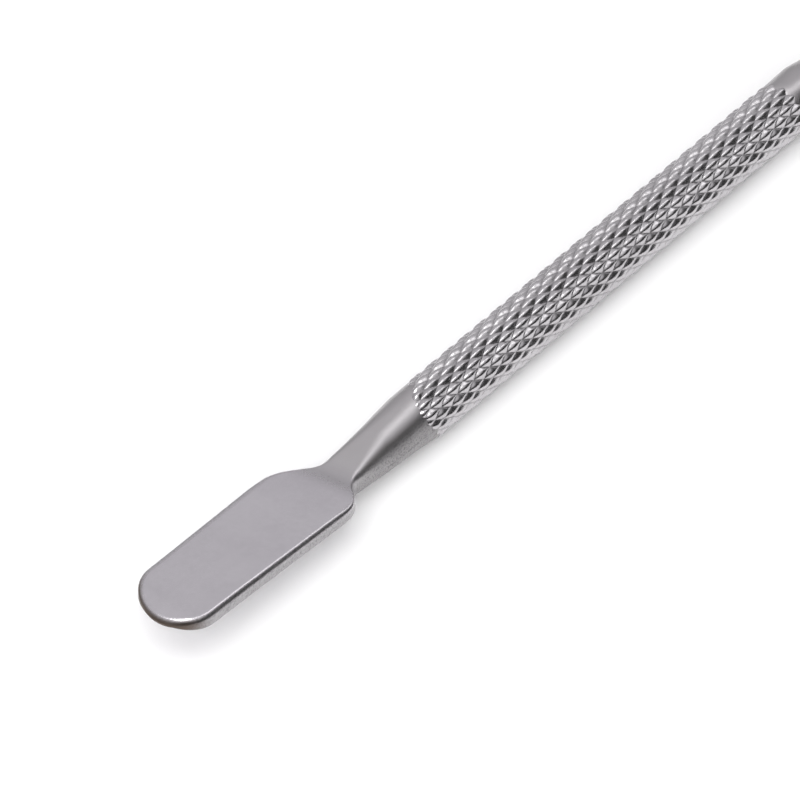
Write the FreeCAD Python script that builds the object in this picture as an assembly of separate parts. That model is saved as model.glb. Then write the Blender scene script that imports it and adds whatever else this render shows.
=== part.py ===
import FreeCAD, Part
import math
import os

# A double-ended cuticle pusher in stainless steel, in millimetres.
# It lies along X with the spoon tip towards -X and the flat of the spoon facing up.
# The origin is on the surface it lies on, under the middle of its length, and +Z is up.

# Grip: a round bar with a rolled diamond knurl
grip_length = 51.2
grip_diameter = 5.0        # over the tops of the diamonds
knurl_raise = 0.1          # rolling lifts the tops this far above the plain bar
knurl_depth = 0.28         # from the tops of the diamonds to the bottom of the grooves
knurl_pitch = 1.0          # across a groove, at a right angle to it
helix_angle = 26.9         # of the grooves, from the bar's axis
weld_distance = 0.01       # points of the knurl closer than this count as one

# Press fit of each working end in the grip
shank_diameter = 2.6       # the bore has the same diameter
shank_length = 10.0
shank_chamfer = 0.3
vent_flat_depth = 0.15     # a flat along the shank lets the air out of the blind bore
bore_spare_depth = 1.0     # the bore is this much deeper than the shank is long

# Both necks, measured outwards from the grip
neck_length = 10.2
neck_width = 3.4           # at the narrowest place
flare_radius = 9.0         # the round blank opens this wide past the neck, clear of the blades

# Spoon-shaped pusher, set a little upwards; heights are above the bar's axis
spoon_reach = 35.9         # from the grip to the tip
spoon_shoulder = 15.6      # from the grip to its full width
spoon_width = 7.9          # at the shoulders
spoon_tip_width = 7.4      # where the round tip starts
spoon_neck_top = 0.97
spoon_neck_bottom = -1.2
spoon_neck_radius = 1.87   # of the round bar that the neck is pressed from, at its narrowest
spoon_root = 14.4          # from the grip to the start of the flat
spoon_root_top = 1.37
spoon_rise_angle = 2.5
spoon_thickness = 1.2
spoon_edge_roll = 0.9      # the top rolls down to the tip over this length
spoon_edge_drop = 0.4
spoon_bevel_length = 3.2   # ground on the underside, towards the tip
spoon_bevel_lift = 0.35

# Spear-shaped nail cleaner, pressed from above, so that its underside lies on the table
cleaner_reach = 37.9
cleaner_shoulder = 17.0
cleaner_width = 5.0
cleaner_tip_width = 1.2
cleaner_neck_top = 0.3
cleaner_neck_radius = 2.6
cleaner_root = 15.0
cleaner_thickness = 1.2
cleaner_bevel_length = 14.0
cleaner_bevel_drop = 0.75
cleaner_sole_length = 0.6  # the underside lifts off the table only at the very tip
cleaner_sole_lift = 0.1


def knurl_counts():
    """How many grooves start round the bar, and how many half-diamond rows fit along it."""
    helix = math.radians(helix_angle)
    girth = math.pi * grip_diameter
    starts = round(girth * math.cos(helix) / knurl_pitch)
    row_length = girth / starts / math.tan(helix) / 2
    return starts, round(grip_length / row_length)


# Places that follow from the sizes
knurl_starts, knurl_rows = knurl_counts()
knurl_places = 2 * knurl_starts                # tops and crossings alternate round every row
overall_length = spoon_reach + grip_length + cleaner_reach
axis_height = grip_diameter / 2 * math.cos(math.pi / knurl_places)    # lying on two lines of tops
grip_start = spoon_reach - overall_length / 2
grip_end = grip_start + grip_length
bar_radius = grip_diameter / 2 - knurl_raise   # the plain bar, and the start of both necks


def point(x, y, z):
    return FreeCAD.Vector(x, y, z)


def seen_from_above(x, y):
    return point(x, y, 0)


def seen_from_the_side(x, z):
    return point(x, 0, z)


def line(start, end, place):
    return Part.makeLine(place(*start), place(*end))


def blend(start, start_slope, end, end_slope, place):
    """A curve between two outline points that leaves and arrives at the given slopes."""
    reach = (end[0] - start[0]) / 2
    poles = [
        start,
        (start[0] + reach, start[1] + start_slope * reach),
        (end[0] - reach, end[1] - end_slope * reach),
        end,
    ]
    curve = Part.BezierCurve()
    curve.setPoles([place(*pole) for pole in poles])
    return curve.toShape()


def filled(edges):
    return Part.Face(Part.Wire(Part.__sortEdges__(edges)))


def plan_prism(shoulder, width, tip_width, reach):
    """Everything inside the outline that the end has from above, as tall as it needs to be."""
    tip_radius = tip_width / 2
    tip_start = reach - tip_radius
    neck_slope = (neck_width / 2 - bar_radius) / neck_length
    edges = []
    for side in (1, -1):
        def place(x, y):
            return seen_from_above(x, side * y)
        neck = (neck_length, neck_width / 2)
        full = (shoulder, width / 2)
        edges.append(line((0, bar_radius), neck, place))
        edges.append(blend(neck, neck_slope, full, 0, place))
        edges.append(line(full, (tip_start, tip_radius), place))
    edges.append(line((0, -bar_radius), (0, bar_radius), seen_from_above))
    tip = Part.Arc(
        point(tip_start, tip_radius, 0), point(reach, 0, 0), point(tip_start, -tip_radius, 0)
    )
    edges.append(tip.toShape())
    face = filled(edges)
    face.translate(point(0, 0, -flare_radius))
    return face.extrude(point(0, 0, 2 * flare_radius))


def side_prism(neck_top, neck_bottom, root, root_top, rise_angle, thickness, top_ease, sole_ease, reach):
    """Everything inside the outline that the end has from the side, as wide as it needs to be.

    The two eases say over what length the top comes down and the underside comes up to the tip."""
    place = seen_from_the_side
    rise = math.tan(math.radians(rise_angle))

    def top(x):
        return root_top + rise * (x - root)

    top_length, top_drop = top_ease
    sole_length, sole_lift = sole_ease
    top_start = (reach - top_length, top(reach - top_length))
    top_end = (reach, top(reach) - top_drop)
    sole_start = (reach - sole_length, top(reach - sole_length) - thickness)
    sole_end = (reach, top(reach) - thickness + sole_lift)
    neck_high = (neck_length, neck_top)
    neck_low = (neck_length, neck_bottom)
    root_high = (root, root_top)
    root_low = (root, root_top - thickness)
    edges = [
        line((0, bar_radius), neck_high, place),
        blend(neck_high, (neck_top - bar_radius) / neck_length, root_high, rise, place),
        line(root_high, top_start, place),
        blend(top_start, rise, top_end, rise - 2 * top_drop / top_length, place),
        line(top_end, sole_end, place),
        line(sole_end, sole_start, place),
        line(sole_start, root_low, place),
        blend(neck_low, (neck_bottom + bar_radius) / neck_length, root_low, rise, place),
        line(neck_low, (0, -bar_radius), place),
        line((0, -bar_radius), (0, bar_radius), place),
    ]
    face = filled(edges)
    face.translate(point(0, -flare_radius, 0))
    return face.extrude(point(0, 2 * flare_radius, 0))


def turned_blank(neck_radius, shoulder, reach):
    """The round bar that the neck is pressed from; past the neck it opens clear of the blade."""
    outline = [
        (0, 0),
        (0, bar_radius),
        (neck_length, neck_radius),
        (shoulder, flare_radius),
        (reach + flare_radius, flare_radius),
        (reach + flare_radius, 0),
    ]
    corners = [seen_from_the_side(*corner) for corner in outline]
    face = Part.Face(Part.makePolygon(corners + corners[:1]))
    return face.revolve(point(0, 0, 0), point(1, 0, 0), 360)


def shank():
    """The round stub that is pressed into the grip, with its vent flat on top."""
    radius = shank_diameter / 2
    inwards = point(-1, 0, 0)
    straight = shank_length - shank_chamfer
    stub = Part.makeCylinder(radius, straight, point(0, 0, 0), inwards)
    nose = Part.makeCone(
        radius, radius - shank_chamfer, shank_chamfer, point(-straight, 0, 0), inwards
    )
    corner = point(-shank_length, -radius, radius - vent_flat_depth)
    vent = Part.makeBox(shank_length, shank_diameter, shank_diameter, corner)
    return stub.fuse(nose).cut(vent)


def working_end(plan, side, blank):
    """A pressed blade, its neck and its shank, in one piece, pointing along +X from the grip."""
    return plan.common(side).common(blank).fuse(shank()).removeSplitter()


def spoon_pusher_end():
    plan = plan_prism(spoon_shoulder, spoon_width, spoon_tip_width, spoon_reach)
    side = side_prism(
        spoon_neck_top,
        spoon_neck_bottom,
        spoon_root,
        spoon_root_top,
        spoon_rise_angle,
        spoon_thickness,
        (spoon_edge_roll, spoon_edge_drop),
        (spoon_bevel_length, spoon_bevel_lift),
        spoon_reach,
    )
    blank = turned_blank(spoon_neck_radius, spoon_shoulder, spoon_reach)
    end = working_end(plan, side, blank)
    end.rotate(point(0, 0, 0), point(0, 0, 1), 180)
    end.translate(point(grip_start, 0, axis_height))
    return end


def nail_cleaner_end():
    plan = plan_prism(cleaner_shoulder, cleaner_width, cleaner_tip_width, cleaner_reach)
    side = side_prism(
        cleaner_neck_top,
        -bar_radius,
        cleaner_root,
        cleaner_thickness - axis_height,
        0,
        cleaner_thickness,
        (cleaner_bevel_length, cleaner_bevel_drop),
        (cleaner_sole_length, cleaner_sole_lift),
        cleaner_reach,
    )
    blank = turned_blank(cleaner_neck_radius, cleaner_shoulder, cleaner_reach)
    end = working_end(plan, side, blank)
    end.translate(point(grip_end, 0, axis_height))
    return end


def knurl_radius(row, is_top):
    """Diamond tops and groove crossings meet the plain bar in the first and last rows."""
    if row in (0, knurl_rows):
        return bar_radius
    if is_top:
        return grip_diameter / 2
    return grip_diameter / 2 - knurl_depth


def knurl_points():
    """The corners of the skin, row by row; a gap between two lines of tops faces down."""
    points = []
    for row in range(knurl_rows + 1):
        for place in range(knurl_places):
            turn = 2 * math.pi * (place + 0.5) / knurl_places
            radius = knurl_radius(row, (row + place) % 2 == 1)
            x = grip_length * row / knurl_rows
            points.append(point(x, radius * math.sin(turn), -radius * math.cos(turn)))
    return points


def knurl_facets():
    """Two triangles between four neighbouring corners, split along the groove."""
    facets = []
    for row in range(knurl_rows):
        for place in range(knurl_places):
            here = row * knurl_places + place
            beside = row * knurl_places + (place + 1) % knurl_places
            above = here + knurl_places
            above_beside = beside + knurl_places
            if (row + place) % 2 == 1:
                facets += [(here, beside, above), (beside, above_beside, above)]
            else:
                facets += [(here, above_beside, above), (here, beside, above_beside)]
    return facets


def end_facets(first, hub, faces_back):
    """A flat end: one triangle from the middle to each side of the end row."""
    facets = []
    for place in range(knurl_places):
        here = first + place
        beside = first + (place + 1) % knurl_places
        facets.append((hub, beside, here) if faces_back else (hub, here, beside))
    return facets


def knurled_bar():
    """A closed bar whose skin is four facets to each diamond, with a flat face at each end."""
    points = knurl_points()
    facets = knurl_facets()
    last_row = knurl_rows * knurl_places
    facets += end_facets(0, len(points), True)
    facets += end_facets(last_row, len(points) + 1, False)
    points += [point(0, 0, 0), point(grip_length, 0, 0)]
    skin = Part.Shape()
    skin.makeShapeFromMesh((points, facets), weld_distance)
    return Part.makeSolid(Part.Shell(skin.Faces)).removeSplitter()


def knurled_handle():
    """The grip, with a blind bore in each end for a shank."""
    handle = knurled_bar()
    depth = shank_length + bore_spare_depth
    for mouth, inwards in ((0, 1), (grip_length, -1)):
        bore = Part.makeCylinder(
            shank_diameter / 2, depth, point(mouth, 0, 0), point(inwards, 0, 0)
        )
        handle = handle.cut(bore)
    handle.translate(point(grip_start, 0, axis_height))
    return handle


def write(name, shape):
    solids = shape.Solids
    assert len(solids) == 1 and solids[0].isValid(), name
    solids[0].exportStep("parts/" + name + ".step")
    box = solids[0].BoundBox
    print(name, round(solids[0].Volume, 1), "mm3,", len(solids[0].Faces), "faces")
    print("  x", round(box.XMin, 3), round(box.XMax, 3), "z", round(box.ZMin, 3), round(box.ZMax, 3))


print("knurl", knurl_starts, "starts,", knurl_rows, "rows")
os.makedirs("parts", exist_ok=True)
write("knurled_handle", knurled_handle())
write("spoon_pusher_end", spoon_pusher_end())
write("nail_cleaner_end", nail_cleaner_end())
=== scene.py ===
# %% [markdown]
# # A steel cuticle pusher on a white table
# The real tool is one slim steel rod: a round grip with a rolled diamond knurl, a flat spoon that pushes
# back the cuticle, and a narrow nail cleaner at the other end. No seam shows, and nothing moves. The model
# takes the ends to be pressed into the grip. The CAD model fixes every size and place. This lesson rebuilds
# its three pieces with rounded edges, crowned diamonds and a steel finish, in a plain studio.

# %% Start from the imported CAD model
import bpy
import math
import numpy as np
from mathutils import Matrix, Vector


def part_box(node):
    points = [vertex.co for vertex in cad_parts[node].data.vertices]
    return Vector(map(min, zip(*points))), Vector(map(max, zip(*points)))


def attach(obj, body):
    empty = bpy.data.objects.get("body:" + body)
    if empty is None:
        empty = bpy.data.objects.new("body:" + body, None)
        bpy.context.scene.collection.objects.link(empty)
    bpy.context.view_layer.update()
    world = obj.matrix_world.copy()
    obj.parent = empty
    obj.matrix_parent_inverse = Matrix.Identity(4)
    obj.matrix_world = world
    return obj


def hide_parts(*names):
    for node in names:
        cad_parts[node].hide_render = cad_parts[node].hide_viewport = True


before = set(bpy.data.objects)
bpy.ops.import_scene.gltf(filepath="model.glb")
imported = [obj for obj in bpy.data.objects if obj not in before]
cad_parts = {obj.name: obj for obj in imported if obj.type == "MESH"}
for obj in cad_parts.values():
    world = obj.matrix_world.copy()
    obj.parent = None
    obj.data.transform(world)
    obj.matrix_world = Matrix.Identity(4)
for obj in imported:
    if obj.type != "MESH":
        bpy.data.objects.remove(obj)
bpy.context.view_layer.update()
MM = 0.001

# %% [markdown]
# ## Sizes that come from the CAD model
# The grip's node tells where the knurl starts and ends and how high its axis lies. Lengths
# below are in millimetres, because a maker thinks in them, and become metres when a mesh is placed.

# %% Read the sizes
grip_low, grip_high = (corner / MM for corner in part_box("knurled_handle"))
GRIP_START = grip_low.x
GRIP_END = grip_high.x
AXIS_HEIGHT = (grip_low.z + grip_high.z) / 2
PLACES = 28                 # tops and groove crossings that alternate round the grip
HALF_ROWS = 46              # half diamonds along the grip
KNURL_RADIUS = 2.5          # over the tops of the diamonds
KNURL_DEPTH = 0.22          # from a top to the bottom of a groove
BAR_RADIUS = 2.4            # the plain bar beside the knurl
print("grip from", round(GRIP_START, 2), "to", round(GRIP_END, 2), "mm")
print("axis", round(AXIS_HEIGHT, 3), "mm above the table")

# %% [markdown]
# ## Small helpers
# Operators act on whatever is selected, and the CAD nodes arrive selected. So each step first selects only
# the piece that it works on. Modifiers are applied at once, so that each piece ends as a plain mesh.

# %% Select one piece, and apply a modifier to it
def only(piece):
    bpy.ops.object.select_all(action="DESELECT")
    piece.select_set(True)
    bpy.context.view_layer.objects.active = piece


def applied(piece, kind, **settings):
    only(piece)
    modifier = piece.modifiers.new(kind.lower(), kind)
    for name, value in settings.items():
        setattr(modifier, name, value)
    bpy.ops.object.modifier_apply(modifier=modifier.name)
    return piece


print("modifier helpers ready")


# %% Read, move and paint the points of a mesh
def points_of(piece):
    flat = np.empty(len(piece.data.vertices) * 3)
    piece.data.vertices.foreach_get("co", flat)
    return flat.reshape(-1, 3)


def place_points(piece, points):
    piece.data.vertices.foreach_set("co", np.asarray(points).reshape(-1))
    piece.data.update()


def paint(piece, name, values):
    """Keep one number for each point, which a material can read."""
    layer = piece.data.attributes.new(name, "FLOAT", "POINT")
    layer.data.foreach_set("value", np.asarray(values, np.float32))


def ramp(value, low, high):
    """0 below low, 1 above high, and a smooth rise between."""
    t = np.clip((value - low) / (high - low), 0, 1)
    return t * t * (3 - 2 * t)


print("a ramp from 2 to 4 at 3:", float(ramp(3, 2, 4)))

# %% [markdown]
# ## Closing a skin
# Every piece here starts as a sheet that is rolled up. Three things make it a solid: points that meet become
# one, the open ends get a cap, and all faces turn outwards. The merge comes first, because normals can only
# be made to agree across faces that share their edges.

# %% Weld, cap and turn the faces outwards
def closed_up(piece, weld_distance):
    only(piece)
    bpy.ops.object.mode_set(mode="EDIT")
    bpy.ops.mesh.select_all(action="SELECT")
    bpy.ops.mesh.remove_doubles(threshold=weld_distance * MM)
    bpy.ops.mesh.select_all(action="DESELECT")
    bpy.ops.mesh.select_non_manifold()
    bpy.ops.mesh.edge_face_add()
    bpy.ops.mesh.select_all(action="SELECT")
    bpy.ops.mesh.normals_make_consistent(inside=False)
    bpy.ops.object.mode_set(mode="OBJECT")


def measured(piece):
    points = points_of(piece) / MM
    faces = len(piece.data.polygons)
    print(piece.name, faces, "faces, from", points.min(0).round(2), "to", points.max(0).round(2), "mm")


print("closing helper ready")

# %% [markdown]
# ## One diamond of the knurl
# A rolled knurl is two sets of grooves that wind round the bar in opposite ways, and what they leave standing
# is a diamond. One square is turned on its corner and stretched to the diamond's outline, and its middle is
# poked out. Creased sides and corners hold the outline while subdivision adds points inside. It stays at 48
# faces, because the knurl repeats it some 750 times.

# %% Model the diamond
ROW = (GRIP_END - GRIP_START) / HALF_ROWS
PLACE = 2 * math.pi * KNURL_RADIUS / PLACES
POKE = 0.52                 # how far the middle stands out before the sheet is wrapped
DIAGONAL = math.sqrt(2)     # of the square that becomes the diamond
bpy.ops.object.select_all(action="DESELECT")
bpy.ops.mesh.primitive_plane_add(size=MM, rotation=(math.pi / 2, 0, 0))
grip = bpy.context.active_object
grip.name = "grip"
bpy.ops.object.transform_apply(rotation=True)
bpy.ops.object.mode_set(mode="EDIT")
bpy.ops.mesh.select_all(action="SELECT")
bpy.ops.transform.rotate(value=math.pi / 4, orient_axis="Y", center_override=(0, 0, 0))
bpy.ops.transform.resize(value=(PLACE * DIAGONAL, 1, ROW * DIAGONAL), center_override=(0, 0, 0))
bpy.ops.mesh.mark_sharp()
bpy.ops.transform.edge_crease(value=1)
bpy.ops.transform.vert_crease(value=1)
bpy.ops.mesh.poke(offset=POKE * MM)
bpy.ops.object.mode_set(mode="OBJECT")
applied(grip, "SUBSURF", levels=2, render_levels=2)
measured(grip)

# %% [markdown]
# ## Its crown
# Rolling presses steel up between the grooves, so a real diamond is a small pillow and not a pyramid. Each
# pair of opposite sides belongs to one set of grooves. A parabola across each pair, multiplied, gives a top
# that is round and flat in the middle and steep at the grooves.

# %% Crown the diamond
tile = points_of(grip) / MM
first_groove = tile[:, 0] / PLACE + tile[:, 2] / ROW
second_groove = tile[:, 0] / PLACE - tile[:, 2] / ROW
pillow = np.maximum((1 - first_groove**2) * (1 - second_groove**2), 0)
tile[:, 1] = tile[np.abs(tile[:, 1]).argmax(), 1] * pillow
place_points(grip, tile * MM)
print("crown", round(float(np.ptp(tile[:, 1])), 3), "mm high")

# %% [markdown]
# ## The knurl, flat
# The diamonds stand in rows like bricks, each row half a diamond aside from the last. A pair of neighbours
# is repeated fourteen times across, which is the grip's girth, and then along its length.

# %% Repeat the diamond
EXTRA_ROWS = 4              # half rows beyond each end, for the run-out of the grooves
PAIRS_ROUND = PLACES // 2
PAIRS_LONG = (HALF_ROWS + 2 * EXTRA_ROWS + 1) // 2
bpy.ops.object.mode_set(mode="EDIT")
bpy.ops.mesh.select_all(action="SELECT")
bpy.ops.mesh.duplicate_move(TRANSFORM_OT_translate={"value": (PLACE * MM, 0, ROW * MM)})
bpy.ops.object.mode_set(mode="OBJECT")
for count, offset in ((PAIRS_ROUND, (2 * PLACE * MM, 0, 0)), (PAIRS_LONG, (0, 0, 2 * ROW * MM))):
    applied(
        grip,
        "ARRAY",
        count=count,
        use_relative_offset=False,
        use_constant_offset=True,
        constant_offset_displace=offset,
    )
measured(grip)

# %% [markdown]
# ## Wrapped round the bar
# A simple bend turns the sheet into a tube. Its edge zigzags by one place, so the angle is one place more
# than a full turn, and the last diamonds meet the first. The bend's own radius is only a start: how high each
# point stands on its diamond is kept, and becomes the depth of the real grooves.

# %% Bend the sheet
applied(
    grip,
    "SIMPLE_DEFORM",
    deform_method="BEND",
    deform_axis="Z",
    angle=2 * math.pi * (PLACES + 1) / PLACES,
)
points = points_of(grip) / MM
bent_radius = PLACE * PLACES / (2 * math.pi)
across = np.hypot(points[:, 0], points[:, 1] - bent_radius)
turn = np.arctan2(points[:, 0], bent_radius - points[:, 1])
crown = across.max() - across.min()
print("tube radius", across.min().round(3), across.max().round(3), "crown", crown.round(3))
HALF_PLACE = 1.5            # turned by this many places, the tool lies on two lines of diamonds
along = points[:, 2] + GRIP_START - EXTRA_ROWS * ROW
high = (across - across.min()) / crown
radius = KNURL_RADIUS - KNURL_DEPTH * (1 - high)
turn = turn + (HALF_PLACE + EXTRA_ROWS % 2) * 2 * math.pi / PLACES

# %% [markdown]
# ## Where the grooves run out
# Pressing the necks has wiped the knurl away at the ends of the grip. At the spoon it stops along a slanting
# line and stays longest on one side. Both lines are one wave round the bar, so a cosine describes them.

# %% The two ends of the knurl
LONGEST = math.radians(50)  # from straight up towards -Y, where the knurl reaches farthest over the neck


def front_edge(angle):
    """Where the knurl stops at the spoon's side; the angle is from straight down, towards +Y."""
    return GRIP_START + 0.6 - 2.3 * np.cos(math.pi - angle + LONGEST)


def rear_edge(angle):
    """Where it stops at the cleaner's side."""
    return GRIP_END - 1.0 + 0.3 * np.cos(math.pi - angle + LONGEST)


print("knurl on top from", round(float(front_edge(math.pi)), 2), "mm")
print("to", round(float(rear_edge(math.pi)), 2), "mm")

# %% [markdown]
# ## The grip, laid down
# Beyond those lines the diamonds sink to a plain cone, which the necks cover. So the grip and each neck are
# separate skins that pass through each other for a short way, which leaves no gap to look into.

# %% Sink the ends and lay the grip down
RUN_OUT = 1.3               # the grooves fade over this length
RUN_IN = 0.2                # and a little of it lies inside the knurl's edge
SUNK_RADIUS = 2.15          # of the bar under the knurl's ends
SUNK_TAPER = 0.25           # how fast that gets thinner beyond the grip
beyond = np.maximum(np.maximum(GRIP_START - along, along - GRIP_END), 0)
sunk = SUNK_RADIUS - SUNK_TAPER * beyond
stays = ramp(along, front_edge(turn) - RUN_OUT, front_edge(turn) + RUN_IN)
stays *= 1 - ramp(along, rear_edge(turn) - RUN_IN, rear_edge(turn) + RUN_OUT)
radius = sunk + (radius - sunk) * stays
place_points(grip, np.stack([along, radius * np.sin(turn), AXIS_HEIGHT - radius * np.cos(turn)], 1) * MM)
paint(grip, "high", high * stays)
closed_up(grip, 0.004)
bpy.ops.object.shade_smooth(keep_sharp_edges=True)
measured(grip)

# %% [markdown]
# ## The outline of a pressed end
# Each working end starts as a round bar, is pressed flat and is trimmed. Its half width, its top and its
# underside are therefore three curves along its length. They are straight lines joined by smooth blends. A
# blend is a cubic curve whose ends follow the lines; its parameter is found with a few Newton steps, which
# gives a height for every length.

# %% Curves of an outline
NECK = 10.2                 # from the grip to the narrowest place
NEWTON_STEPS = 30


def blended(x, start, start_slope, end, end_slope):
    """A curve from start to end that leaves and arrives at the given slopes."""
    span = end[0] - start[0]
    goal = np.clip((x - start[0]) / span, 0, 1)
    t = goal.copy()
    for _ in range(NEWTON_STEPS):
        t -= (1.5 * t * (1 - t) + t**3 - goal) / (1.5 - 3 * t + 3 * t * t)
    first = start[1] + start_slope * span / 2
    last = end[1] - end_slope * span / 2
    ends = start[1] * (1 - t) ** 3, end[1] * t**3
    return ends[0] + 3 * first * t * (1 - t) ** 2 + 3 * last * t * t * (1 - t) + ends[1]


def neck_curve(x, at_grip, at_neck, root, at_root, slope):
    """A straight taper from grip to neck, a blend to the blade's root, then a straight line."""
    x = np.asarray(x, float)
    taper = (at_neck - at_grip) / NECK
    curve = np.where(x < NECK, at_grip + taper * np.maximum(x, 0), 0)
    blend = blended(x, (NECK, at_neck), taper, (root, at_root), slope)
    curve = np.where((x >= NECK) & (x < root), blend, curve)
    return np.where(x >= root, at_root + slope * (x - root), curve)


print("a neck's half width:", neck_curve([0, 5, 10, 13], BAR_RADIUS, 1.7, 15.6, 4.0, 0).round(2))

# %% [markdown]
# ## Spreading points over an edge
# Seen in section, an end is a rounded rectangle: fully round at the grip, nearly square on the blade. Half of
# it runs from the top middle over the edge to the middle of the underside. Its points crowd where it turns,
# so a crisp edge and a round bar can share the same number of points.

# %% Distances from the edge, and the fall of a rounded edge
TOP_STEPS = 24
WALL_STEPS = 5
SOLE_STEPS = 20
TURN_WEIGHT = 2.2           # millimetres of flat that the turn counts as, when the points are dealt out


def edge_distances(width, rounding, steps):
    """Distances from the edge, from the middle (width) to the edge (0), closer together on the rounding."""
    rounding = min(rounding, width)
    flat = width - rounding
    bend = rounding * math.pi / 2 + TURN_WEIGHT
    s = np.linspace(0, flat + bend, steps + 1)
    angle = np.clip((s - flat) / bend, 0, 1) * math.pi / 2
    return np.where(s < flat, width - s, rounding * (1 - np.sin(angle)))


def fall(distance, rounding):
    """How far a rounded edge lies below the flat, at a distance from the edge."""
    inside = np.clip(rounding - distance, 0, rounding)
    return rounding - np.sqrt(np.maximum(rounding**2 - inside**2, 0))


print("distances on a blade:", edge_distances(3.9, 0.12, TOP_STEPS).round(2))

# %% [markdown]
# ## Half a section
# The section above becomes points here. The tool was not finished evenly: the blade's far edge is crisper,
# and the near side of the neck is softer. A share that depends on the side handles both. The same place also
# notes what the materials need: where the skin is a side or a rolled edge, where it is the tip's rim, and
# where it is the neck.

# %% One half section
BACK = -0.3                 # how far round the tip the difference between the two sides reaches
WALL_SHARES = np.linspace(1, 0, WALL_STEPS + 1)[1:-1]
SHARES = np.concatenate([np.ones(TOP_STEPS + 1), WALL_SHARES, np.zeros(SOLE_STEPS + 1)])


def half_section(outline, start, turn, crisp_side, soft_neck):
    """Places and distances from the edge, for the half section at one stop that faces one way."""
    width, _, _, top_round, sole_round = (float(v) for v in outline(start))
    far = float(ramp(-math.sin(turn), BACK, 1.0) * ramp(start, 14.5, 18.0))
    near = float(ramp(math.sin(turn), BACK, 1.0) * (1 - ramp(start, 10.0, 15.0)))
    softness = 1 - crisp_side * far
    softness += soft_neck * near
    top_edge = edge_distances(width, top_round * softness, TOP_STEPS)
    sole_edge = edge_distances(width, sole_round, SOLE_STEPS)[::-1]
    edge = np.concatenate([top_edge, np.zeros(WALL_STEPS - 1), sole_edge])
    x = start + (width - edge) * math.cos(turn)
    y = (width - edge) * math.sin(turn)
    _, top, sole, top_round, sole_round = outline(x)
    top_z = top - fall(edge, np.minimum(top_round * softness, width))
    sole_z = sole + fall(edge, np.minimum(sole_round, width))
    z = top_z * SHARES + sole_z * (1 - SHARES)
    down = np.clip((top - z) / np.maximum(top - sole, 0.05) * 2.5, 0, 1)
    return np.stack([x, y, z], 1), edge, down


def skin_notes(x, edge, down, tip_centre, tip_radius):
    """How much each point belongs to a grainy side darkened as painted shade, to the tip's rim and to the
    neck.
    """
    # The rolled top edge of the blade counts partly as side, so its bright line is darkened there as painted
    # shade.
    rolled = 0.65 * (1 - ramp(edge, 0.1, 0.5)) * ramp(x, 13.0, 16.0)
    grain_and_side_shade = np.maximum(down * (1 - ramp(edge, 0.2, 0.9)), rolled)
    rim = (1 - ramp(edge, 0.05, 0.35)) * ramp(x, tip_centre, tip_centre + 0.73 * tip_radius)
    return np.stack([grain_and_side_shade, rim, 1 - ramp(x, 9.0, 15.0)], 1)


print("points in a half section:", len(SHARES))

# %% [markdown]
# ## Forge an end from a grid
# The half section goes along one side of the end, turns round the tip like a fan, and comes back along the
# other side. A grid has the same layout, one column for each stop on that way, so its points are moved to
# their places and the meeting points along the middle are merged. An extrusion of plain rings would leave
# the round tip with thin slivers; the fan keeps its rim even.

# %% Build one working end
def forged_end(name, outline, reach, tip_radius, stops, tip_stops, crisp_side=0.0, soft_neck=0.0):
    """outline(x) gives half width, top, underside and both roundings, x millimetres from the grip."""
    tip_centre = reach - tip_radius
    side = np.asarray(stops, float)
    fan = np.linspace(math.pi / 2, -math.pi / 2, tip_stops + 1)[1:-1]
    spine = np.concatenate([side, np.full(len(fan), tip_centre), side[::-1]])
    turns = np.concatenate([np.full(len(side), math.pi / 2), fan, np.full(len(side), -math.pi / 2)])
    rows = len(SHARES)
    bpy.ops.object.select_all(action="DESELECT")
    bpy.ops.mesh.primitive_grid_add(x_subdivisions=len(spine) - 1, y_subdivisions=rows - 1, size=1)
    piece = bpy.context.active_object
    piece.name = name
    grid = points_of(piece)
    column = np.rint((grid[:, 0] + 0.5) * (len(spine) - 1)).astype(int)
    row = np.rint((grid[:, 1] + 0.5) * (rows - 1)).astype(int)
    places = np.zeros((len(spine), rows, 3))
    notes = np.zeros((len(spine), rows, 3))
    for i, (start, turn) in enumerate(zip(spine, turns)):
        places[i], edge, down = half_section(outline, start, turn, crisp_side, soft_neck)
        notes[i] = skin_notes(places[i][:, 0], edge, down, tip_centre, tip_radius)
    place_points(piece, places[column, row] * MM)
    for index, note in enumerate(("side", "rim", "neck")):
        paint(piece, note, notes[column, row, index])
    closed_up(piece, 0.002)
    bpy.ops.object.shade_smooth()
    return piece


print("forging helper ready")

# %% [markdown]
# ## Under the knurl
# Where the knurl still lies over a neck, the neck steps back below the grooves, so that only the diamonds
# show there. It comes up again over a millimetre, past the knurl's slanting edge.

# %% Step a neck back under the knurl
UNDER_RADIUS = 2.02         # of a neck where the knurl lies over it


def sunk_under_knurl(points, edge, outwards):
    """outwards is -1 for the spoon, which lies towards -X, and 1 for the cleaner."""
    x, y, z = points[:, 0], points[:, 1], points[:, 2] - AXIS_HEIGHT
    angle = np.arctan2(y, -z)
    under = ramp((edge(angle) - x) * outwards, -0.2, 1.1)
    radius = np.hypot(y, z)
    shrink = 1 - under * np.clip(radius - UNDER_RADIUS, 0, 1) / np.maximum(radius, 0.1)
    return np.stack([x, y * shrink, z * shrink + AXIS_HEIGHT], 1)


print("a neck lies", round(KNURL_RADIUS - UNDER_RADIUS, 2), "mm below the tops of the knurl")

# %% [markdown]
# ## The spoon's outline
# The spoon is a flat plate with parallel sides and a round tip, set two and a half degrees upwards. Its
# sides are square with a rolled upper edge. At the tip the underside is ground up and the rim rolls down.

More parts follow.
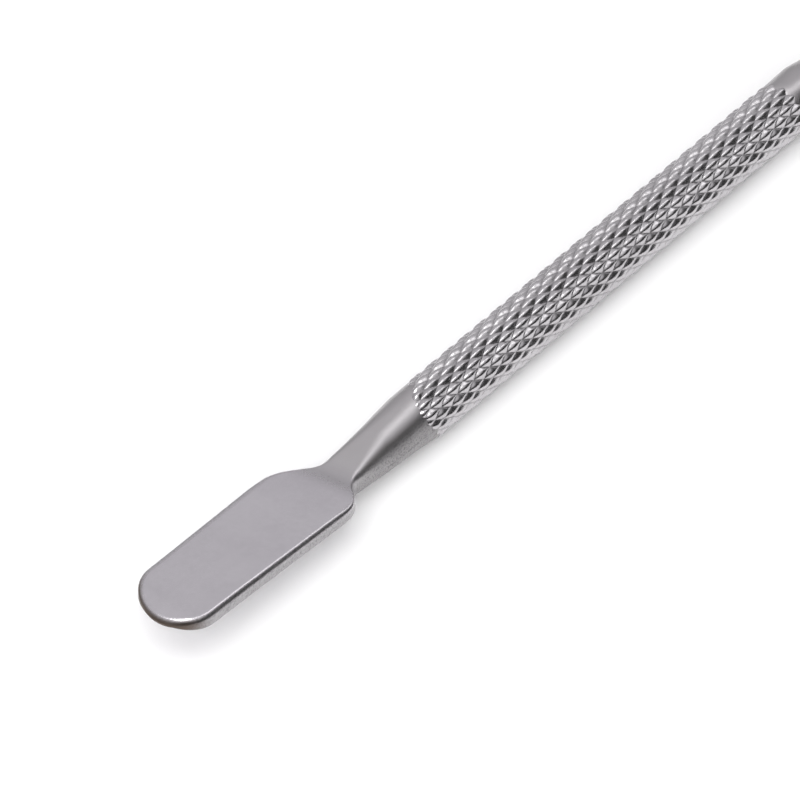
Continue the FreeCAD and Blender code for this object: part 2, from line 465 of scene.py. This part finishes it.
# %% Draw the spoon
TIP_DROP = 0.3              # the tip is drawn this far short of the CAD plate, and its rim rolls down as far
SPOON_REACH = GRIP_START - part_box("spoon_pusher_end")[0].x / MM - TIP_DROP
SPOON_TIP = 3.7             # radius of the tip
SPOON_RISE = math.tan(math.radians(2.5))
SHOULDER = 15.6             # from the grip to the full width
SHOULDER_HALF = 4.0
NARROWER = 0.25             # each side comes in by this much towards the tip
NECK_HALF = 1.7
ROOT = 14.4                 # from the grip to the start of the flat
GROUND = 4.2                # length of the grinding under the tip
TOP_ROUNDING = [2.4, 1.9, 1.25, 0.5, 0.25, 0.34, 0.46, 0.56, 0.5]
SOLE_ROUNDING = [2.4, 2.0, 1.4, 0.8, 0.4, 0.3, 0.25, 0.25, 0.15]
ROUNDING_PLACES = [0, 3, 6, 10, 13, 15, 17, SPOON_REACH - 5, SPOON_REACH]


def spoon_outline(x):
    narrowing = -NARROWER / (SPOON_REACH - SPOON_TIP - SHOULDER)
    width = neck_curve(x, BAR_RADIUS, NECK_HALF, SHOULDER, SHOULDER_HALF, narrowing)
    top = neck_curve(x, BAR_RADIUS, 0.97, ROOT, 1.37, SPOON_RISE)
    sole = neck_curve(x, -BAR_RADIUS, -1.2, ROOT, 0.17, SPOON_RISE)
    top = top - TIP_DROP * ramp(x, SPOON_REACH - 1.8, SPOON_REACH + 0.4)
    sole = sole + 0.5 * np.clip((x - SPOON_REACH + GROUND) / GROUND, 0, 1) ** 1.6
    top_round = np.interp(x, ROUNDING_PLACES, TOP_ROUNDING)
    sole_round = np.interp(x, ROUNDING_PLACES, SOLE_ROUNDING)
    return width, top, sole, top_round, sole_round


print("plate thickness", round(float(spoon_outline(20.0)[1] - spoon_outline(20.0)[2]), 2), "mm")

# %% Forge the spoon
HIDDEN = -3.5               # the neck starts this far inside the grip
stops = np.concatenate([
    np.linspace(HIDDEN, 9, 26)[:-1],
    np.linspace(9, 17, 40)[:-1],
    np.linspace(17, SPOON_REACH - SPOON_TIP, 20),
])
spoon = forged_end(
    "spoon",
    spoon_outline,
    SPOON_REACH,
    SPOON_TIP,
    stops,
    48,
    crisp_side=0.65,
    soft_neck=0.6,
)
measured(spoon)

# %% [markdown]
# ## Made by hand
# A pressed and hand-ground spoon is never quite even. The tip is a little fuller towards -Y, and the shoulder
# on the +Y side comes in more softly. Both are small shifts of the finished mesh, in plan only, so the flat
# stays flat. Then the spoon is turned round and lifted to its place at the grip.

# %% Make the spoon uneven and place it
TIP_SKEW = 0.22             # for each millimetre sideways, the tip shifts this far along
FAR_SIDE_PLACES = [HIDDEN, 0, 1.6, 3.5, 5.5, 8, 9.7, 11.6, 12.4, 13.2, 13.9, 14.6, 15.7, 17]
FAR_SIDE_WIDTHS = [1.0, 1.0, 1.07, 1.06, 1.01, 1.01, 1.03, 1.05, 0.97, 0.85, 0.86, 0.915, 0.985, 1.0]
points = points_of(spoon) / MM
skew = TIP_SKEW * points[:, 1] * ramp(points[:, 0], SPOON_REACH - 8, SPOON_REACH - 2.5)
far_side = np.interp(points[:, 0], FAR_SIDE_PLACES, FAR_SIDE_WIDTHS)
sideways = -points[:, 1] * np.where(points[:, 1] < 0, far_side, 1)
points = np.stack([GRIP_START - points[:, 0] - skew, sideways, AXIS_HEIGHT + points[:, 2]], 1)
place_points(spoon, sunk_under_knurl(points, front_edge, -1) * MM)
measured(spoon)

# %% [markdown]
# ## The nail cleaner
# The other end is pressed from above into a narrow spear that cleans under the nail. Its flat underside lies
# on the table and its top is ground down to a thin point. Its neck keeps its full height for the first two
# millimetres. The spear is a guess at the usual shape: only the start of this neck was known.

# %% Draw the cleaner
CLEANER_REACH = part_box("nail_cleaner_end")[1].x / MM - GRIP_END
CLEANER_TIP = 0.6           # radius of the point
CLEANER_SHOULDER = 17.0     # from the grip to the full width
CLEANER_HALF = 2.5
CLEANER_NARROWER = 1.9      # each side comes in by this much towards the point
CLEANER_ROOT = 15.0         # from the grip to the start of the flat
CLEANER_THICK = 1.2
GROUND_TOP = 14.0           # length of the grinding on top
HOLD = 2.4                  # the neck keeps its height for this length
CLEANER_ROUNDING_PLACES = [0, 3, 6, 10, 13, 17, CLEANER_REACH]


def cleaner_outline(x):
    narrowing = -CLEANER_NARROWER / (CLEANER_REACH - CLEANER_TIP - CLEANER_SHOULDER)
    width = neck_curve(x, BAR_RADIUS, NECK_HALF, CLEANER_SHOULDER, CLEANER_HALF, narrowing)
    held = x - HOLD * (1 - ramp(x, HOLD, NECK))
    top = neck_curve(held, BAR_RADIUS, 0.3, CLEANER_ROOT, CLEANER_THICK - AXIS_HEIGHT, 0)
    sole = neck_curve(x, -BAR_RADIUS, -BAR_RADIUS, CLEANER_ROOT, -AXIS_HEIGHT, 0)
    top = top - 0.75 * np.clip((x - CLEANER_REACH + GROUND_TOP) / GROUND_TOP, 0, 1) ** 1.5
    top_round = np.interp(x, CLEANER_ROUNDING_PLACES, [2.4, 1.8, 1.1, 0.5, 0.25, 0.2, 0.15])
    sole_round = np.interp(x, CLEANER_ROUNDING_PLACES, [2.4, 2.0, 1.4, 0.8, 0.4, 0.2, 0.15])
    return width, top, sole, top_round, sole_round


print("cleaner reaches", round(CLEANER_REACH, 2), "mm beyond the grip")

# %% Forge the cleaner
stops = np.concatenate([
    np.linspace(HIDDEN, 9, 26)[:-1],
    np.linspace(9, 18, 40)[:-1],
    np.linspace(18, CLEANER_REACH - CLEANER_TIP, 24),
])
cleaner = forged_end("cleaner", cleaner_outline, CLEANER_REACH, CLEANER_TIP, stops, 20)
points = points_of(cleaner) / MM
points = np.stack([GRIP_END + points[:, 0], points[:, 1], AXIS_HEIGHT + points[:, 2]], 1)
place_points(cleaner, sunk_under_knurl(points, rear_edge, 1) * MM)
measured(cleaner)

# %% [markdown]
# ## Helpers for materials
# A material is a small network. One helper adds a node and wires or sets its inputs, another starts a node
# group with named inputs and outputs, and two more cover the nodes that appear most.

# %% Node helpers
def node(tree, kind, inputs=None, **settings):
    made = tree.nodes.new(kind)
    for name, value in settings.items():
        setattr(made, name, value)
    for name, value in (inputs or {}).items():
        if isinstance(value, bpy.types.NodeSocket):
            tree.links.new(value, made.inputs[name])
        else:
            made.inputs[name].default_value = value
    return made


def group(name, inputs, outputs):
    tree = bpy.data.node_groups.new(name, "ShaderNodeTree")
    for socket, kind, value in inputs:
        made = tree.interface.new_socket(socket, in_out="INPUT", socket_type=kind)
        made.default_value = value
    for socket, kind in outputs:
        tree.interface.new_socket(socket, in_out="OUTPUT", socket_type=kind)
    return tree, tree.nodes.new("NodeGroupInput"), tree.nodes.new("NodeGroupOutput")


def calculated(tree, operation, first, second, clamp=False):
    made = node(tree, "ShaderNodeMath", {0: first, 1: second}, operation=operation, use_clamp=clamp)
    return made.outputs[0]


def noise(tree, scale, detail, roughness):
    """Noise on the piece's own coordinates, so it stays put on the steel."""
    place = node(tree, "ShaderNodeTexCoord").outputs["Object"]
    inputs = {"Vector": place, "Scale": scale, "Detail": detail, "Roughness": roughness}
    return node(tree, "ShaderNodeTexNoise", inputs).outputs["Fac"]


def mixed_colour(tree, factor, first, second):
    """From the first colour to the second; each is a socket or three numbers."""
    made = node(tree, "ShaderNodeMix", {"Factor": factor}, data_type="RGBA")
    for index, colour in ((6, first), (7, second)):
        if isinstance(colour, bpy.types.NodeSocket):
            tree.links.new(colour, made.inputs[index])
        else:
            made.inputs[index].default_value = (*colour, 1)
    return made.outputs[2]


print("node helpers ready")

# %% [markdown]
# ## Cloudy steel
# All three pieces are the same stainless steel, tumbled after pressing. Tumbling and handling leave slow
# changes of colour and gloss. Two noises, one broad and one fine, drive both, and each material sets its own
# two colours and its gloss.

# %% The cloud group
cloud_tree, cloud_in, cloud_out = group(
    "steel_cloud",
    [
        ("Light", "NodeSocketColor", (0.6, 0.6, 0.6, 1)),
        ("Dark", "NodeSocketColor", (0.5, 0.5, 0.5, 1)),
        ("Gloss", "NodeSocketFloat", 0.25),
        ("Gloss Change", "NodeSocketFloat", 0.08),
    ],
    [("Color", "NodeSocketColor"), ("Roughness", "NodeSocketFloat")],
)
slow = noise(cloud_tree, 160.0, 4.0, 0.6)
fine = noise(cloud_tree, 2400.0, 3.0, 0.6)
slow_share = calculated(cloud_tree, "MULTIPLY", slow, 0.75)
fine_share = calculated(cloud_tree, "MULTIPLY", fine, 0.25)
both = calculated(cloud_tree, "ADD", slow_share, fine_share)
spread = node(cloud_tree, "ShaderNodeMapRange", {"Value": both, "From Min": 0.36, "From Max": 0.64})
cloudy = mixed_colour(cloud_tree, spread.outputs[0], cloud_in.outputs["Dark"], cloud_in.outputs["Light"])
cloud_tree.links.new(cloudy, cloud_out.inputs["Color"])
swing = calculated(cloud_tree, "SUBTRACT", fine, 0.5)
swing = calculated(cloud_tree, "MULTIPLY", swing, cloud_in.outputs["Gloss Change"])
gloss = calculated(cloud_tree, "ADD", cloud_in.outputs["Gloss"], swing, clamp=True)
cloud_tree.links.new(gloss, cloud_out.inputs["Roughness"])
print("cloud group:", len(cloud_tree.nodes), "nodes")

# %% [markdown]
# ## Pressed grain
# Where the press did not smooth the steel, on the sides and the necks, it keeps a pitted skin. The group
# gives a height for the bump and a mask of the deepest pits. Its Mask says where the coarse pits show, and
# Everywhere how much of a very fine skin lies over all of it.

# %% The grain group
grain_tree, grain_in, grain_out = group(
    "pressed_grain",
    [("Mask", "NodeSocketFloat", 1.0), ("Everywhere", "NodeSocketFloat", 0.1)],
    [("Height", "NodeSocketFloat"), ("Pits", "NodeSocketFloat")],
)
pits = noise(grain_tree, 6500.0, 3.0, 0.65)
skin = noise(grain_tree, 14000.0, 2.0, 0.6)
strong = calculated(grain_tree, "MULTIPLY", pits, grain_in.outputs["Mask"])
weak = calculated(grain_tree, "MULTIPLY", skin, grain_in.outputs["Everywhere"])
grain_height = calculated(grain_tree, "ADD", strong, weak)
grain_tree.links.new(grain_height, grain_out.inputs["Height"])
deep = node(grain_tree, "ShaderNodeMapRange", {"Value": pits, "From Min": 0.52, "From Max": 0.34})
deep_pits = calculated(grain_tree, "MULTIPLY", deep.outputs[0], grain_in.outputs["Mask"])
grain_tree.links.new(deep_pits, grain_out.inputs["Pits"])
print("grain group:", len(grain_tree.nodes), "nodes")


# %% A steel with both groups
def steel(name, light, dark, gloss, gloss_change):
    material = bpy.data.materials.new(name)
    material.use_nodes = True
    tree = material.node_tree
    shader = tree.nodes["Principled BSDF"]
    shader.inputs["Metallic"].default_value = 1.0
    cloud = node(tree, "ShaderNodeGroup", node_tree=cloud_tree)
    cloud.inputs["Light"].default_value = (*light, 1)
    cloud.inputs["Dark"].default_value = (*dark, 1)
    cloud.inputs["Gloss"].default_value = gloss
    cloud.inputs["Gloss Change"].default_value = gloss_change
    grain = node(tree, "ShaderNodeGroup", node_tree=grain_tree)
    return material, tree, shader, cloud, grain


def painted(tree, name):
    return node(tree, "ShaderNodeAttribute", attribute_name=name).outputs["Fac"]


def rough_and_bumpy(tree, shader, rough, grain, depth):
    """Wire the roughness, and a bump as deep as the grain's full height, in millimetres."""
    tree.links.new(rough, shader.inputs["Roughness"])
    inputs = {"Strength": 1.0, "Distance": depth * MM, "Height": grain.outputs["Height"]}
    bump = node(tree, "ShaderNodeBump", inputs)
    tree.links.new(bump.outputs["Normal"], shader.inputs["Normal"])


print("steel helper ready")

# %% [markdown]
# ## Steel of the pressed ends
# The flats are smooth and grey with a breath of violet. The necks are duller, and the sides are grainy with
# dark pits. The sides and the rolled edges are also darkened as painted shade, and the thin rim of the spoon
# is painted dark brown as painted shade. The numbers painted on the mesh say which is which, so one material
# covers both ends.

# %% Blade steel
# The side grey darkens the sides and rolled edges as painted shade, against the bright table that they
# reflect.
SIDE_SHADE_GREY = (0.37, 0.36, 0.365)
NECK_GREY = (0.44, 0.425, 0.435)
PIT_GREY = (0.22, 0.21, 0.22)
# The rim brown is painted shade on the tip's rolled-down rim.
RIM_SHADE_BROWN = (0.13, 0.105, 0.09)
blade, tree, shader, cloud, grain = steel("blade_steel", (0.62, 0.60, 0.63), (0.56, 0.54, 0.57), 0.24, 0.10)
side = painted(tree, "side")
rim = painted(tree, "rim")
neck = painted(tree, "neck")
tree.links.new(side, grain.inputs["Mask"])
grain.inputs["Everywhere"].default_value = 0.015
colour = mixed_colour(tree, neck, cloud.outputs["Color"], NECK_GREY)
# Painted shade: the sides and rolled edges are darkened.
colour = mixed_colour(tree, calculated(tree, "MULTIPLY", side, 0.8), colour, SIDE_SHADE_GREY)
colour = mixed_colour(tree, grain.outputs["Pits"], colour, PIT_GREY)
# Painted shade: the tip's rim is darkened to brown.
colour = mixed_colour(tree, rim, colour, RIM_SHADE_BROWN)
tree.links.new(colour, shader.inputs["Base Color"])
rough = calculated(tree, "ADD", cloud.outputs["Roughness"], calculated(tree, "MULTIPLY", side, 0.12))
rough = calculated(tree, "ADD", rough, calculated(tree, "MULTIPLY", neck, 0.12), clamp=True)
rough_and_bumpy(tree, shader, rough, grain, 0.045)
print("blade steel:", len(tree.nodes), "nodes")

# %% [markdown]
# ## Steel of the knurl
# Handling polishes the tops of the diamonds, so the grooves stay a little duller; their colour is darkened
# as painted shade.

# %% Knurl steel
# The groove grey is painted shade in the grooves.
GROOVE_SHADE_GREY = (0.30, 0.29, 0.30)
knurl, tree, shader, cloud, grain = steel("knurl_steel", (0.58, 0.565, 0.58), (0.49, 0.475, 0.49), 0.24, 0.08)
low_mark = {"Value": painted(tree, "high"), "From Min": 0.35, "From Max": 0.0}
groove = node(tree, "ShaderNodeMapRange", low_mark).outputs[0]
grain.inputs["Mask"].default_value = 0.25
grain.inputs["Everywhere"].default_value = 0.06
# Painted shade: the colour darkens in the grooves.
groove_shade = calculated(tree, "MULTIPLY", groove, 0.6)
tree.links.new(mixed_colour(tree, groove_shade, cloud.outputs["Color"], GROOVE_SHADE_GREY), shader.inputs["Base Color"])
groove_rough = calculated(tree, "MULTIPLY", groove, 0.15)
rough = calculated(tree, "ADD", cloud.outputs["Roughness"], groove_rough, clamp=True)
rough_and_bumpy(tree, shader, rough, grain, 0.008)
for piece, material in ((grip, knurl), (spoon, blade), (cleaner, blade)):
    piece.data.materials.clear()
    piece.data.materials.append(material)
    print(piece.name, "is", material.name)

# %% [markdown]
# ## The table
# Steel shows its surroundings more than itself. A plain white table without gloss lights it from below and
# makes its sides pale. It is wide enough to fill the picture and every reflection of the floor.

# %% Table
TABLE_SIZE = 8.0
bpy.ops.object.select_all(action="DESELECT")
bpy.ops.mesh.primitive_plane_add(size=TABLE_SIZE)
table = bpy.context.active_object
table.name = "table"
white = bpy.data.materials.new("table_white")
white.use_nodes = True
paper = white.node_tree.nodes["Principled BSDF"]
paper.inputs["Base Color"].default_value = (0.93, 0.93, 0.93, 1)
paper.inputs["Roughness"].default_value = 0.9
paper.inputs["Specular IOR Level"].default_value = 0.1
table.data.materials.append(white)
print("table", TABLE_SIZE, "m wide")

# %% [markdown]
# ## The room
# The room is grey and gets lighter towards the ceiling. On the viewer's side it is dark below the lights.
# That side draws the dark line along the blade's near edge and the dark faces of the diamonds: without it,
# polished steel looks like white plaster.

# %% Room
world = bpy.data.worlds.new("room")
bpy.context.scene.world = world
world.use_nodes = True
tree = world.node_tree
sky = tree.nodes["Background"]
direction = node(tree, "ShaderNodeTexCoord").outputs["Generated"]
height = node(tree, "ShaderNodeSeparateXYZ", {0: direction}).outputs["Z"]
towards = node(tree, "ShaderNodeSeparateXYZ", {0: direction}).outputs["Y"]
shades = node(tree, "ShaderNodeValToRGB", {"Fac": height})
walls = shades.color_ramp
walls.elements[0].position = 0.0
walls.elements[0].color = (0.40, 0.395, 0.405, 1)
walls.elements[1].position = 1.0
walls.elements[1].color = (0.9, 0.9, 0.9, 1)
for position, shade in ((0.35, 0.60), (0.62, 0.72), (0.8, 0.68)):
    element = walls.elements.new(position)
    element.color = (shade, shade * 0.985, shade * 1.01, 1)


def softly(value, off, on):
    """0 at off and 1 at on, with a soft change between."""
    inputs = {"Value": value, "From Min": off, "From Max": on}
    return node(tree, "ShaderNodeMapRange", inputs, interpolation_type="SMOOTHSTEP").outputs[0]


viewer_side = softly(towards, -0.10, -0.28)
below_lights = softly(height, 0.80, 0.62)
dark_part = calculated(tree, "MULTIPLY", viewer_side, below_lights)
room_colour = mixed_colour(tree, dark_part, shades.outputs["Color"], (0.05, 0.05, 0.05))
tree.links.new(room_colour, sky.inputs["Color"])
sky.inputs["Strength"].default_value = 1.0
print("room:", len(tree.nodes), "nodes")

# %% [markdown]
# ## Four soft lights
# A light does two jobs on polished steel: it casts a shadow on the table, and it shows as a patch in the
# steel. Here each has its own pair. The wide overhead light and the low fill only light the table, and keep
# the shadow soft and pale. The light above and the narrow band only show in the steel: they make the bright
# patches on the diamonds and the highlight along the neck.

# %% Soft lights
def soft_light(name, place, size, power):
    data = bpy.data.lights.new(name, "AREA")
    data.shape = "RECTANGLE"
    data.size, data.size_y = size
    data.energy = power
    light = bpy.data.objects.new(name, data)
    bpy.context.scene.collection.objects.link(light)
    light.location = place
    light.rotation_euler = Vector(place).to_track_quat("Z", "Y").to_euler()
    light.visible_camera = False
    return light


overhead = soft_light("overhead", (-0.70, -0.35, 0.95), (1.7, 1.7), 14.0)
overhead.visible_glossy = False
fill = soft_light("fill", (-0.75, -0.60, 0.38), (1.1, 0.7), 9.0)
fill.visible_glossy = False
above = soft_light("above", (-0.10, 0.06, 0.98), (0.45, 0.60), 4.2)
above.visible_diffuse = False
band = soft_light("band", (0.62, -0.05, 0.77), (0.24, 0.5), 0.52)
band.visible_diffuse = False
print("lights:", [light.name for light in (overhead, fill, above, band)])

# %% [markdown]
# ## The camera
# The camera looks down at 37 degrees from the spoon's side, from far away and with a long lens. That keeps
# the rod's sides nearly parallel. The view is close, so most of the cleaner lies outside the picture.

# %% Camera
AZIMUTH = math.radians(-54.3)
ELEVATION = math.radians(36.8)
DISTANCE = 0.985            # metres
LENS = 549.4
LOOK_AT = Vector((-15.79, 9.85, -7.27)) * MM
back = Vector((
    math.sin(AZIMUTH) * math.cos(ELEVATION),
    -math.cos(AZIMUTH) * math.cos(ELEVATION),
    math.sin(ELEVATION),
))
camera_data = bpy.data.cameras.new("camera")
camera_data.lens = LENS
camera_data.sensor_width = 36.0
camera_data.clip_start = 0.01
camera_data.clip_end = 20.0
camera = bpy.data.objects.new("camera", camera_data)
bpy.context.scene.collection.objects.link(camera)
camera.location = LOOK_AT + back * DISTANCE
camera.rotation_mode = "QUATERNION"
camera.rotation_quaternion = (-back).to_track_quat("-Z", "Y")
bpy.context.scene.camera = camera
bpy.context.scene.view_settings.view_transform = "Standard"
print("camera at", [round(v, 3) for v in camera.location])

# %% [markdown]
# ## Tied to the frame
# Nothing moves on this tool, so all three pieces ride the root. Each one stands for one CAD node.

# %% Tie the pieces to the frame
for piece, cad_node, finish in (
    (grip, "knurled_handle", "grip_steel"),
    (spoon, "spoon_pusher_end", "blade_steel"),
    (cleaner, "nail_cleaner_end", "blade_steel"),
):
    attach(piece, "root")
    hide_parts(cad_node)
